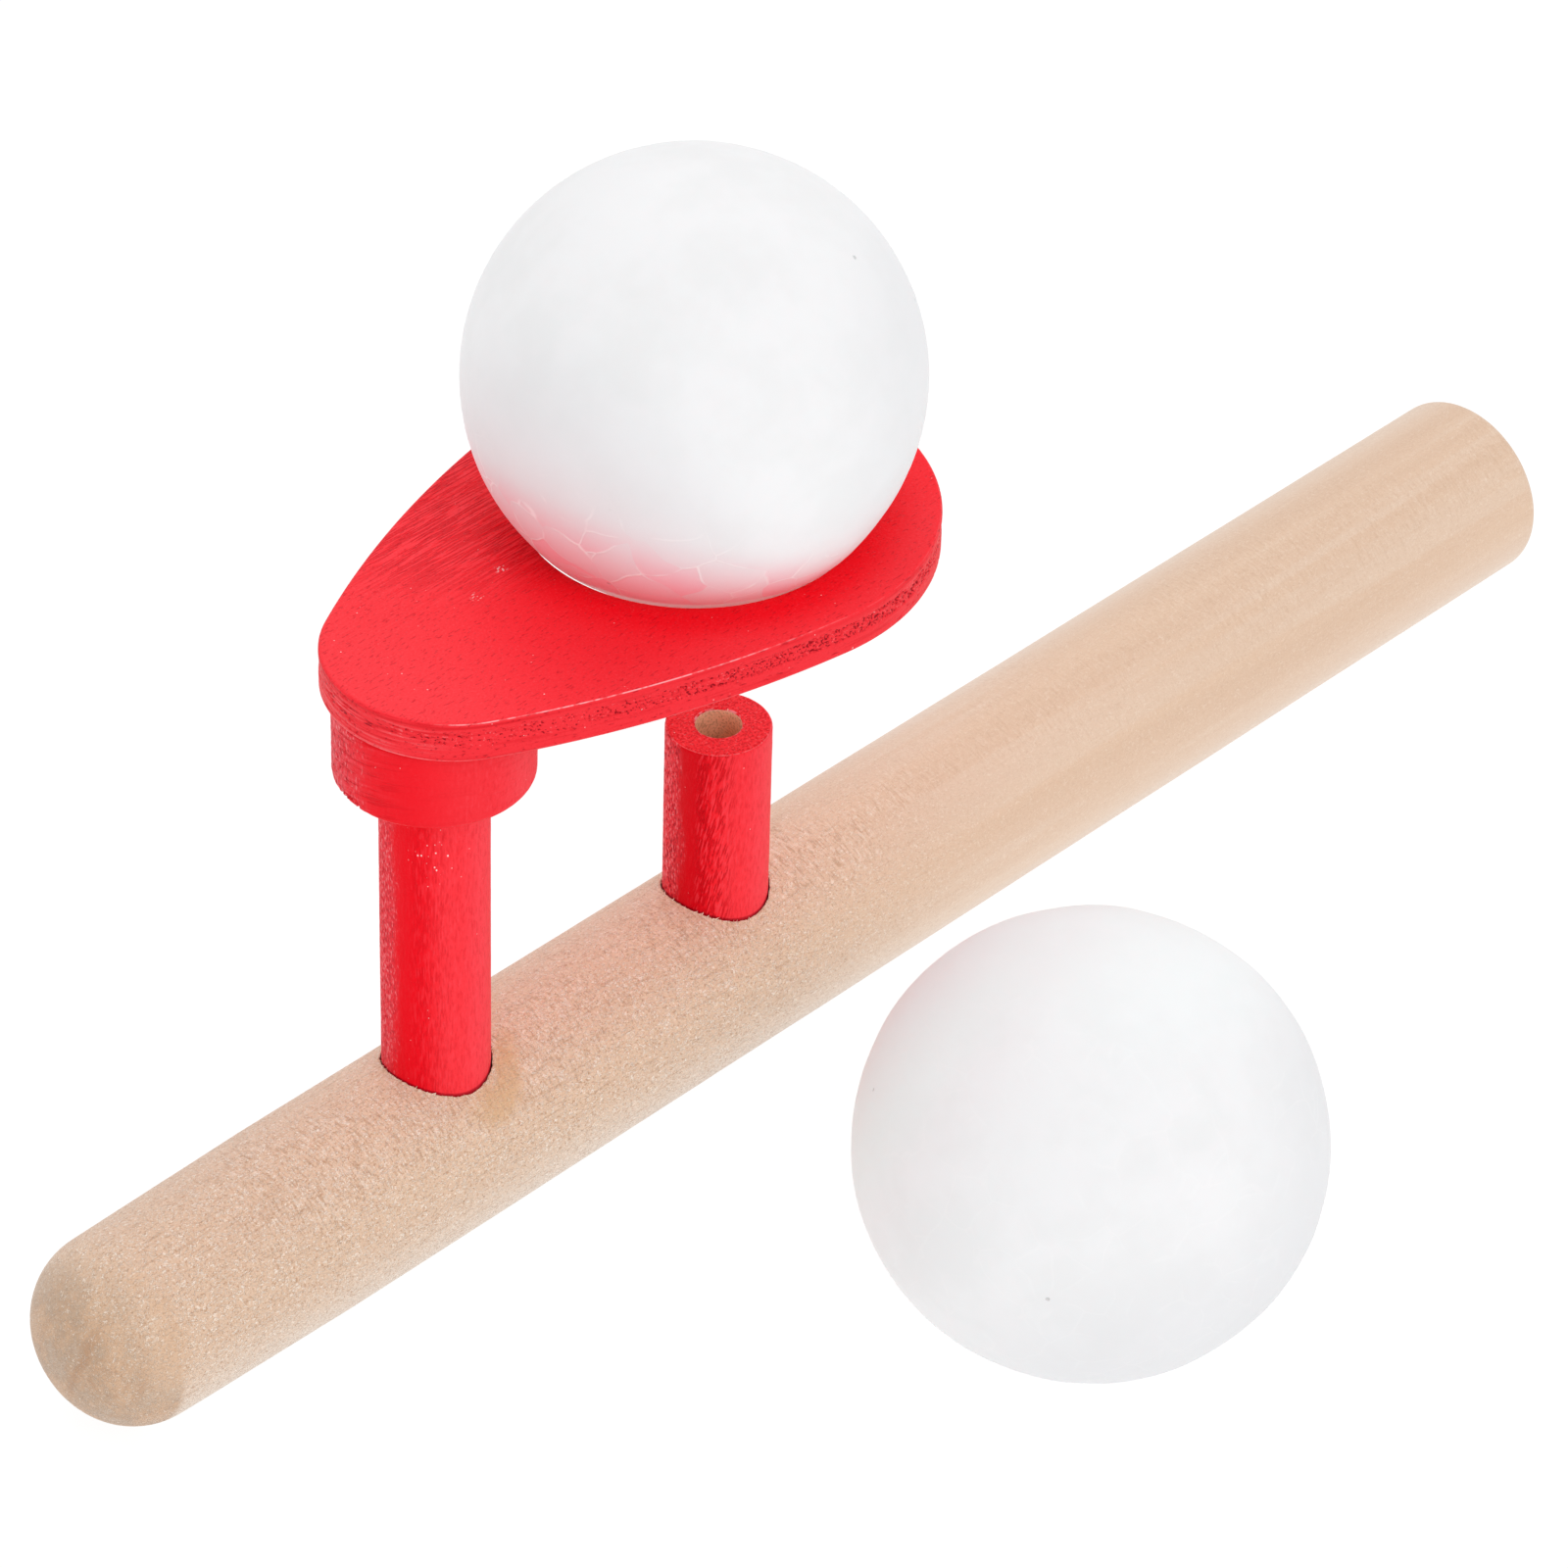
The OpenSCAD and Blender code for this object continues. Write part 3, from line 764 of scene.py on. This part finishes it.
def settle(piece):
    """Turns what a piece's modifiers make into its plain mesh."""
    depsgraph = bpy.context.evaluated_depsgraph_get()
    made = bpy.data.meshes.new_from_object(
        piece.evaluated_get(depsgraph), preserve_all_data_layers=True, depsgraph=depsgraph)
    piece.modifiers.clear()
    spent = piece.data
    piece.data = made
    bpy.data.meshes.remove(spent)


def shaped(piece, tree_name, sizes, recipe, *finishes):
    """Runs a geometry tree on a piece. Each finish is a material, or a material and the faces that
    it covers."""
    group = bpy.data.node_groups.new(tree_name, "GeometryNodeTree")
    sides = group.interface
    sides.new_socket("Geometry", in_out="INPUT", socket_type="NodeSocketGeometry")
    kinds = {int: "NodeSocketInt", float: "NodeSocketFloat", tuple: "NodeSocketVector"}
    keys = {}
    for label, size in sizes.items():
        keys[label] = sides.new_socket(label, in_out="INPUT", socket_type=kinds[type(size)]).identifier
    sides.new_socket("Geometry", in_out="OUTPUT", socket_type="NodeSocketGeometry")
    tree = Tree(group)
    start = tree.node("NodeGroupInput")
    given = {label: start.outputs[label] if type(size) is tuple else Value(tree, start.outputs[label])
             for label, size in sizes.items()}
    geometry = recipe(tree, start.outputs["Geometry"], given)
    geometry = tree.node("GeometryNodeRealizeInstances", None, {"Geometry": geometry}).outputs[0]
    for finish in finishes:
        material, faces = finish if isinstance(finish, tuple) else (finish, None)
        inputs = {"Geometry": geometry, "Material": material}
        if faces:
            inputs["Selection"] = faces(tree)
        geometry = tree.node("GeometryNodeSetMaterial", None, inputs).outputs[0]
    tree.node("NodeGroupOutput", None, {"Geometry": geometry})
    modifier = piece.modifiers.new(tree_name, "NODES")
    modifier.node_group = group
    for label, size in sizes.items():
        modifier[keys[label]] = size
    settle(piece)


def spot_mm(tree):
    return tree.scaled(tree.node("GeometryNodeInputPosition").outputs[0], 1.0 / MM)


def pushed(tree, geometry, height_mm):
    """Moves each point along its normal by a height in millimetres."""
    normal = tree.node("GeometryNodeInputNormal").outputs[0]
    offset = tree.scaled(normal, height_mm * MM)
    return tree.node("GeometryNodeSetPosition", None, {"Geometry": geometry, "Offset": offset}).outputs[0]


def bite(tree, place, middle, radius, depth):
    """A hollow about a middle, deepest there and level at its radius."""
    away = tree.measure("DISTANCE", place, middle)
    return tree.fall(away / radius, 0.2, 1.0) * depth


# The pipe
def pipe_profile():
    """Half of the pipe's outline from the drill's point, out of the mouth and back to the domed end."""
    shoulder_past = math.sqrt((NOSE_R - SHOULDER_R) ** 2 - SHOULDER_SIDE ** 2)
    shoulder_at = PIPE_LEN - NOSE_R + shoulder_past
    turn = math.degrees(math.atan2(shoulder_past, SHOULDER_SIDE))
    bore = stepped([(AIR_R, AIR_DEEP), (AIR_R, AIR_CHAMFER)], 2.0)
    face = stepped([(AIR_R + AIR_CHAMFER, 0.0), (PIPE_R - MOUTH_ROUND, 0.0)], 0.5)
    rim = arc((PIPE_R - MOUTH_ROUND, MOUTH_ROUND), MOUTH_ROUND, -90, 0, 6)
    side = stepped([(PIPE_R, MOUTH_ROUND), (PIPE_R, shoulder_at - SANDED_LEN),
                    (SHOULDER_SIDE + SHOULDER_R, shoulder_at)], 0.55)
    shoulder = arc((SHOULDER_SIDE, shoulder_at), SHOULDER_R, 0, turn, 16)
    nose = arc((0.0, PIPE_LEN - NOSE_R), NOSE_R, turn, 90, 16)
    nose[-1] = (0.0, PIPE_LEN)
    return [(0.0, AIR_DEEP + DRILL_POINT)] + bore + face + rim[1:] + side[1:] + shoulder[1:] + nose[1:]


def hand_sanded(tree, geometry, given):
    """The dowel's slight flats and hollows from sanding."""
    place = spot_mm(tree)
    flats = tree.noise(place, (0.05, 0.12, 0.12), 2.0, 2.0)
    ripple = tree.noise(place, (0.25, 0.6, 0.6), 5.0, 2.0)
    return pushed(tree, geometry, -(flats * given["Flats"] + ripple * given["Ripple"]))


def socket_cutter(name, at_x, floor, pip):
    """The space that a drilled hole takes out of the pipe. Its walls are torn where it breaks the
    surface, and the bit's centre leaves a pip in its floor."""
    profile = [(0.0, floor - pip), (1.0, floor)] if pip else [(0.0, floor)]
    profile += stepped([(SOCKET_R, floor), (SOCKET_R, TORN_FROM)], 2.0)
    profile += stepped([(SOCKET_R, TORN_FROM), (SOCKET_R, CUT_TO)], 0.2)[1:] + [(0.0, CUT_TO)]
    cutter = turned(name, profile, SOCKET_FACES, (at_x, 0.0, 0.0))
    for point in cutter.data.vertices:
        x, y, z = point.co / MM
        out = Vector((x - at_x, y))
        if z > TORN_FROM + 0.1 and out.length > 1.0:
            torn = max(0.0, noise.noise(Vector((x * 0.9, y * 3.1, z * 0.7 + 4.0))))
            ragged = max(0.0, noise.noise(Vector((x * 2.1, y * 6.0, z * 1.5 + 9.0))))
            wide_side = max(0.0, -(out.x * COARSE_SIDE[0] + out.y * COARSE_SIDE[1]) / out.length)
            grown = 1.0 + ((0.08 + 0.08 * wide_side) * torn + 0.10 * ragged) / SOCKET_R
            point.co.x = (at_x + out.x * grown) * MM
            point.co.y = out.y * grown * MM
    return cutter


def make_pipe(finish):
    pipe = turned("wooden_pipe", pipe_profile(), PIPE_FACES, (0.0, 0.0, 0.0), lying=True)
    shaped(pipe, "Hand sanded dowel", {"Flats": 0.06, "Ripple": 0.02}, hand_sanded, finish)
    jet_top = NOZZLE_FLOOR + 1.0
    jet_profile = [(0.0, 0.0), (JET_R, 0.0), (JET_R, jet_top), (0.0, jet_top)]
    cutters = [socket_cutter("support_socket", SUPPORT_X, SUPPORT_FLOOR, SOCKET_PIP),
               socket_cutter("nozzle_socket", NOZZLE_X, NOZZLE_FLOOR, 0.0),
               turned("jet_cutter", jet_profile, JET_FACES, (NOZZLE_X, 0.0, 0.0))]
    for cutter in cutters:
        cut = pipe.modifiers.new(cutter.name, "BOOLEAN")
        cut.operation = "DIFFERENCE"
        cut.solver = "EXACT"
        cut.object = cutter
    settle(pipe)
    for cutter in cutters:
        bpy.data.objects.remove(cutter)
    pipe.data.set_sharp_from_angle(angle=math.radians(35.0))
    return pipe


# Torn fibres round the sockets
def socket_rims(count):
    """Points round both sockets where they break the pipe's surface."""
    places = []
    for at_x in (SUPPORT_X, NOZZLE_X):
        for i in range(count):
            a = 2.0 * math.pi * i / count
            reach = SOCKET_R + 0.12
            y = reach * math.sin(a)
            places.append((at_x + reach * math.cos(a), y, math.sqrt(PIPE_R ** 2 - y ** 2) - 0.03))
    return places


def torn_fibres(tree, geometry, given):
    """A sliver of wood on each point, lying roughly along the pipe and lifted a little."""
    sliver = tree.node("GeometryNodeMeshCone", {"fill_type": "NGON"}, {
        "Vertices": 5, "Side Segments": 3, "Fill Segments": 1, "Radius Top": 0.004 * MM,
        "Radius Bottom": given["Fibre thickness"] * MM, "Depth": given["Fibre length"] * MM})
    tilt = math.radians(90.0)
    lift = math.radians(30.0)
    swing = math.radians(70.0)

    def scattered(low, high, seed):
        return tree.node("FunctionNodeRandomValue", {"data_type": "FLOAT_VECTOR"},
                         {"Min": low, "Max": high, "Seed": seed}).outputs["Value"]

    return tree.node("GeometryNodeInstanceOnPoints", None, {
        "Points": geometry, "Instance": sliver.outputs["Mesh"],
        "Rotation": scattered((-0.3, tilt - lift, -swing), (0.3, tilt + lift, swing), given["Seed"]),
        "Scale": scattered((0.5, 0.4, 0.25), (1.1, 0.9, 1.0), given["Seed"] + 1.0)}).outputs[0]


def make_fibres(finish):
    fibres = new_piece("torn_fibres", socket_rims(130), [])
    sizes = {"Fibre thickness": 0.07, "Fibre length": 0.42, "Seed": 3}
    shaped(fibres, "Torn fibres round a socket", sizes, torn_fibres, finish)
    return fibres


# The posts and the collar
def brushed_grain(tree, geometry, given):
    """Leaning ridges of grain under the paint, with furrows and a rough crust on the coarse side."""
    place = spot_mm(tree)
    x, y, _ = tree.parts(place)
    facing = facing_coarse(x, y, given["Middle"], POST_R)
    grain, furrow, crust = post_grain(tree, place, given["Lean"])
    ridge = tree.noise(grain, (2.4, 2.4, 0.14), 4.0, 2.0, 0.6)
    bow = tree.noise(place, (0.10, 0.10, 0.05), 7.0)
    furrow = tree.ramp(furrow, 0.52, 0.63) * (0.10 + furrowed_side(tree, facing))
    crust = tree.ramp(crust, 0.54, 0.64) * tree.ramp(facing, 0.62, 0.92)
    depth = ridge * given["Ridge"] + bow * given["Bow"] + furrow * given["Furrow"] + crust * given["Crust"]
    return pushed(tree, geometry, -depth)


def post_profile(low, high, bore=None):
    """Half of a post's outline, with eased ends. With a bore, the outline goes round its wall."""
    side = eased_side(POST_R, high, low, POST_EASE, 0.16, 4)
    if bore is None:
        return stepped([(0.0, high), (POST_R - POST_EASE, high)], 0.8)[:-1] + side + [(0.0, low)]
    lip = 0.12
    cap = stepped([(bore + lip, high), (POST_R - POST_EASE, high)], 0.15)
    return cap[:-1] + side + stepped([(bore, low), (bore, high - lip)], 0.4)


def bore_faces(tree):
    """Upright faces inside the nozzle's bore."""
    x, y, _ = tree.parts(spot_mm(tree))
    up = tree.parts(tree.node("GeometryNodeInputNormal").outputs[0])[2]
    reach = tree.length(x - NOZZLE_X, y)
    return tree.math("LESS_THAN", reach + tree.math("ABSOLUTE", up), JET_R + 0.7)


def make_support_post(finish):
    profile = post_profile(SUPPORT_FLOOR, PLATE_LOW)
    post = turned("support_dowel", profile, POST_FACES, (SUPPORT_X, 0.0, 0.0))
    sizes = {"Middle": SUPPORT_X, "Lean": 0.0,
             "Ridge": 0.05, "Bow": 0.03, "Furrow": 0.02, "Crust": 0.06}
    shaped(post, "Painted upright grain", sizes, brushed_grain, finish)
    return post


def make_nozzle_post(finish, bare):
    profile = post_profile(NOZZLE_FLOOR, NOZZLE_TOP, JET_R)
    post = turned("nozzle_dowel", profile, POST_FACES, (NOZZLE_X, 0.0, 0.0), closed=True)
    sizes = {"Middle": NOZZLE_X, "Lean": NOZZLE_LEAN,
             "Ridge": 0.05, "Bow": 0.03, "Furrow": 0.03, "Crust": 0.07}
    shaped(post, "Painted leaning grain", sizes, brushed_grain, finish, (bare, bore_faces))
    return post


def layered_grain(tree, geometry, given):
    """Level layers of grain on the collar's coarse side, with nicks there and chips out of its lower rim."""
    place = spot_mm(tree)
    x, y, z = tree.parts(place)
    coarse = tree.ramp(facing_coarse(x, y, SUPPORT_X, COLLAR_R), 0.50, 0.95)
    layers = collar_layers(tree, x, y, z) * (0.15 + coarse)
    nick = tree.ramp(tree.noise(place, (4.8, 4.8, 2.0), 25.0), 0.56, 0.68) * coarse
    crumbs = tree.noise(place, 1.7, 3.0)
    near_chips = bite(tree, place, given["Chips"], given["Chips reach"], given["Chip depth"])
    chip = near_chips * tree.ramp(crumbs, 0.48, 0.58) * tree.fall(z, COLLAR_LOW + 0.35, COLLAR_LOW + 0.9)
    return pushed(tree, geometry, -(layers * given["Layer"] + nick * given["Nick"] + crumbs * 0.02 + chip))


def make_collar(finish):
    rim = COLLAR_R - COLLAR_EASE
    top = stepped([(SOCKET_R, PLATE_LOW), (rim, PLATE_LOW)], 0.5)
    side = eased_side(COLLAR_R, PLATE_LOW, COLLAR_LOW, COLLAR_EASE, 0.13, 6)
    under = stepped([(rim, COLLAR_LOW), (SOCKET_R, COLLAR_LOW)], 0.3)
    bored = stepped([(SOCKET_R, COLLAR_LOW), (SOCKET_R, PLATE_LOW)], 1.5)
    profile = top[:-1] + side + under[1:] + bored[1:-1]
    collar = turned("turned_collar", profile, COLLAR_FACES, (SUPPORT_X, 0.0, 0.0), closed=True)
    sizes = {"Layer": 0.10, "Nick": 0.08,
             "Chips": (-124.1, 1.0, 33.4), "Chips reach": 2.0, "Chip depth": 0.30}
    shaped(collar, "Layered grain", sizes, layered_grain, finish)
    return collar


# The plate
def plate_outline(count):
    """Evenly spaced points of the egg-shaped outline, with the outward direction at each."""
    apart = WIDE_X - NARROW_X
    to_narrow, to_wide = FLANK_R - NARROW_R, FLANK_R - WIDE_R
    flank_x = (to_narrow ** 2 - to_wide ** 2 + apart ** 2) / (2.0 * apart)
    flank_y = math.sqrt(to_narrow ** 2 - flank_x ** 2)
    narrow = math.atan2(flank_y, -flank_x)
    wide = math.atan2(flank_y, apart - flank_x)
    arcs = [
        (NARROW_X, 0.0, NARROW_R, narrow, 2.0 * math.pi - narrow),
        (NARROW_X + flank_x, flank_y, FLANK_R, -narrow, -wide),
        (WIDE_X, 0.0, WIDE_R, -wide, wide),
        (NARROW_X + flank_x, -flank_y, FLANK_R, wide, narrow),
    ]
    lengths = [abs(end - start) * radius for _, _, radius, start, end in arcs]
    points = []
    for i in range(count):
        run = sum(lengths) * i / count
        for (x, y, radius, start, end), length in zip(arcs, lengths):
            if run < length:
                break
            run -= length
        a = start + (end - start) * run / length
        points.append((x + radius * math.cos(a), y + radius * math.sin(a), math.cos(a), math.sin(a)))
    return points


def plate_section():
    """The section from the seat out to the edge and back: (share of the way out, inset, height)."""
    outer, inner = PLATE_ROUND, SEAT_EASE
    top = [(t / 26.0, 0.0, PLATE_TOP) for t in range(1, 26)]
    upper = arc((outer, PLATE_TOP - outer), outer, 90, 180, 6)
    side = [(0.0, z) for z in np.linspace(PLATE_TOP - outer, PLATE_LOW + outer, 36)[1:-1]]
    lower = arc((outer, PLATE_LOW + outer), outer, 180, 270, 5)
    bottom = [(t / 14.0, 0.0, PLATE_LOW) for t in range(13, 0, -1)]
    seat_low = arc((-inner, PLATE_LOW + inner), inner, -90, 0, 3)
    wall = [(0.0, z) for z in np.linspace(PLATE_LOW + inner, PLATE_TOP - inner, 12)[1:-1]]
    seat_top = arc((-inner, PLATE_TOP - inner), inner, 0, 90, 3)
    edge = [(1.0, *spot) for spot in upper + side + lower]
    seat = [(0.0, *spot) for spot in seat_low + wall + seat_top]
    return top + edge + bottom + seat


def ply_edges(tree, geometry, given):
    """Open pores where the middle ply's fibres end, and the steps between the plies."""
    place = spot_mm(tree)
    x, y, z = tree.parts(place)
    across, along = plate_grain(tree, place)
    middle = middle_ply(tree, z)
    inside = tree.between(z, PLATE_LOW + 0.15, PLATE_LOW + 0.35, PLATE_TOP - 0.35, PLATE_TOP - 0.15)
    wavy = 1.0 + tree.ramp(x, -122.5, -119.5, 2.0, 0.0) * tree.ramp(y, -7.0, -5.0)
    pits = open_pores(tree, x, across) * middle * given["Pore"]
    lines = tree.noise(place, (0.16, 0.16, 3.2), 8.0, 2.0, 0.6) * inside * wavy * given["Lamination"]
    outer = tree.ramp(along, 0.64, 0.72) * (1.0 - middle) * inside * given["Pore"] * 0.7
    return pushed(tree, geometry, -(pits + lines + outer + middle * given["Step"]))


def make_plate(finish):
    outline, section = plate_outline(PLATE_FACES), plate_section()
    places = []
    for px, py, nx, ny in outline:
        a = math.atan2(py, px - SEAT_X)
        ca, sa = math.cos(a), math.sin(a)
        for share, inset, height in section:
            if share == 0.0:
                reach = SEAT_R - inset
                places.append((SEAT_X + reach * ca, reach * sa, height))
            else:
                start_x, start_y = SEAT_X + (SEAT_R + SEAT_EASE) * ca, (SEAT_R + SEAT_EASE) * sa
                end_inset = inset if share == 1.0 else PLATE_ROUND
                end_x, end_y = px - nx * end_inset, py - ny * end_inset
                x = start_x + (end_x - start_x) * share
                y = start_y + (end_y - start_y) * share
                places.append((x, y, height))
    n, m = len(outline), len(section)
    faces = [(i * m + j, i * m + (j + 1) % m, ((i + 1) % n) * m + (j + 1) % m, ((i + 1) % n) * m + j)
             for i in range(n) for j in range(m)]
    plate = new_piece("egg_plate", places, faces)
    sizes = {"Pore": 0.12, "Lamination": 0.025, "Step": 0.04}
    shaped(plate, "Plywood edges", sizes, ply_edges, finish)
    return plate


# The balls
def foam_ball(tree, geometry, given):
    """A foam ball: a cube of points drawn onto a sphere, with slight lumps, bead seams, and two spots
    that are pressed in or stand out."""
    cube = tree.node("GeometryNodeMeshCube", None, {
        "Size": (2.0, 2.0, 2.0), "Vertices X": given["Points"], "Vertices Y": given["Points"],
        "Vertices Z": given["Points"]})
    spot = tree.node("GeometryNodeInputPosition").outputs[0]
    spread = tree.vector("TANGENT", tree.scaled(spot, math.pi / 4.0))
    on_ball = tree.scaled(tree.vector("NORMALIZE", spread), given["Radius"] * MM)
    centre = tree.scaled(given["Middle"], MM)
    ball = tree.node("GeometryNodeSetPosition", None, {
        "Geometry": cube.outputs["Mesh"], "Position": tree.vector("ADD", on_ball, centre)}).outputs[0]
    ball = tree.node("GeometryNodeSetShadeSmooth", None, {"Geometry": ball}).outputs[0]
    place = spot_mm(tree)
    lumps = tree.ramp(tree.noise(place, 0.085, 2.0, 2.0), 0.25, 0.75)
    seam = tree.fall(foam_beads(tree, place, given["Shift"]), 0.0, 0.12)
    first = bite(tree, place, given["First spot"], given["First reach"], given["First depth"])
    second = bite(tree, place, given["Second spot"], given["Second reach"], given["Second depth"])
    return pushed(tree, ball, -(lumps * given["Lump"] + seam * given["Seam"] + first + second))


def make_ball(name, middle, radius, lump, first, second, finish):
    """A ball with two spots, each given by its middle, its reach, and a depth that is negative where the
    ball bulges."""
    ball = new_piece(name, [middle], [])
    sizes = {"Middle": middle, "Radius": radius, "Points": BALL_POINTS, "Shift": 1.0,
             "Lump": lump, "Seam": 0.01,
             "First spot": first[0], "First reach": first[1], "First depth": first[2],
             "Second spot": second[0], "Second reach": second[1], "Second depth": second[2]}
    shaped(ball, name + " beads", sizes, foam_ball, finish)
    return ball


# Camera, floor and lights
def make_camera():
    yaw, pitch, roll = (math.radians(a) for a in YAW_PITCH_ROLL)
    forward = Vector((math.sin(yaw) * math.cos(pitch), math.cos(yaw) * math.cos(pitch), -math.sin(pitch)))
    level = Vector((math.cos(yaw), -math.sin(yaw), 0.0))
    upward = level.cross(forward)
    right = level * math.cos(roll) + upward * math.sin(roll)
    up = upward * math.cos(roll) - level * math.sin(roll)
    lens = bpy.data.cameras.new("photo_view")
    lens.sensor_fit = "HORIZONTAL"
    lens.sensor_width = 36.0
    lens.lens = CAMERA_LENS
    lens.clip_start = 0.01
    lens.clip_end = 20.0
    camera = bpy.data.objects.new("photo_view", lens)
    turn = Matrix((right, up, -forward)).transposed().to_4x4()
    camera.matrix_world = Matrix.Translation(Vector(CAMERA_AT) * MM) @ turn
    bpy.context.scene.collection.objects.link(camera)
    bpy.context.scene.camera = camera


def make_floor():
    """A pale table top that gives off a little light, as a light table does, so that shadows stay faint."""
    table = Finish("pale_table", **{
        "Base Color": (0.12, 0.12, 0.12), "Roughness": 0.8, "Specular IOR Level": 0.1,
        "Emission Color": (1.0, 1.0, 1.0), "Emission Strength": 0.92})
    half = 2500.0
    floor = new_piece("table_top", [(-half, -half, FLOOR_Z), (half, -half, FLOOR_Z), (half, half, FLOOR_Z),
                                    (-half, half, FLOOR_Z)], [(0, 1, 2, 3)])
    floor.data.materials.append(table.material)


def soft_light(name, place, aim, width, height, watts, colour=(1.0, 1.0, 1.0)):
    lamp = bpy.data.lights.new(name, "AREA")
    lamp.shape = "RECTANGLE"
    lamp.size = width
    lamp.size_y = height
    lamp.energy = watts
    lamp.color = colour
    light = bpy.data.objects.new(name, lamp)
    light.location = place
    light.rotation_euler = (Vector(aim) - Vector(place)).to_track_quat("-Z", "Y").to_euler()
    bpy.context.scene.collection.objects.link(light)


def make_lights():
    world = bpy.data.worlds.new("white_room")
    world.use_nodes = True
    sky = world.node_tree.nodes["Background"]
    sky.inputs["Color"].default_value = (1.0, 1.0, 1.0, 1.0)
    sky.inputs["Strength"].default_value = 0.80
    bpy.context.scene.world = world
    aim = (-0.09, -0.01, 0.02)
    soft_light("key", (-0.295, -0.774, 0.84), aim, 0.6, 0.6, 2.86)
    soft_light("back", (0.252, 0.674, 0.864), aim, 0.6, 0.6, 1.92)
    scene = bpy.context.scene
    scene.view_settings.view_transform = "Standard"
    scene.view_settings.look = "None"


make_camera()
bare = bare_wood_finish()
red_support = post_finish("red_paint_support", SUPPORT_X, 0.0, 0.35)
red_nozzle = post_finish("red_paint_nozzle", NOZZLE_X, NOZZLE_LEAN, 1.0)
# Painted shade on the floating ball's side towards the support and on its right, and on the spare ball's
# underside and its right. Painted light on the spare ball: whiter where it faces the pipe, against the red
# light off the plate, and brighter on top
foam = foam_finish("white_foam_floating", BALL_MIDDLE, BALL_R, 1.0, (54.0, 47.0, 1.0), (45.5, 52.0, 1.0),
                   [((-0.96, -0.15, -0.20), 0.55, 0.95, 0.45, SHADED_FOAM),
                    ((0.68, -0.73, 0.00), 0.50, 0.95, 0.40, SHADED_FOAM)])
spare_foam = foam_finish("white_foam_spare", SPARE_MIDDLE, SPARE_R, 7.0, (27.0, 26.5, 0.12),
                         (-20.0, -19.0, 0.0),
                         [((-0.15, -0.72, -0.68), 0.35, 0.95, 0.50, SHADED_FOAM),
                          ((0.68, -0.73, 0.00), 0.50, 0.95, 0.45, SHADED_FOAM),
                          ((-0.32, 0.85, 0.42), 0.52, 0.92, 1.00, PAINTED_LIGHT_FOAM),
                          ((0.18, 0.17, 0.97), 0.60, 1.00, 0.50, PAINTED_TOP_LIGHT_FOAM)])

made = [
    (make_pipe(bare), "pipe", "pipe_and_plate", "bare_wood"),
    (make_support_post(red_support), "support_post", "pipe_and_plate", "red_paint"),
    (make_nozzle_post(red_nozzle, drilled_wood_finish()), "nozzle_post", "pipe_and_plate", "red_paint"),
    (make_collar(collar_finish()), "collar", "pipe_and_plate", "red_paint"),
    (make_plate(plate_finish()), "plate", "pipe_and_plate", "red_paint"),
    (make_ball("floating_ball", BALL_MIDDLE, BALL_R + 0.03, 0.05, ((-104.0, 0.2, 43.6), 3.6, -0.07),
               ((-91.4, -12.4, 43.3), 6.5, -0.15), foam), "ball", "ball", "white_foam"),
    (make_ball("loose_ball", SPARE_MIDDLE, SPARE_R + 0.055, 0.18, ((-96.0, -57.0, 2.5), 6.0, 0.1),
               ((-104.0, -48.0, -0.5), 6.0, 0.1), spare_foam), "spare_ball", "spare_ball", "white_foam"),
]
for piece, node, body, slot in made:
    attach(piece, body)
    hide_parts(node)
fibres = make_fibres(torn_wood_finish())
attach(fibres, "pipe_and_plate")

make_floor()
make_lights()
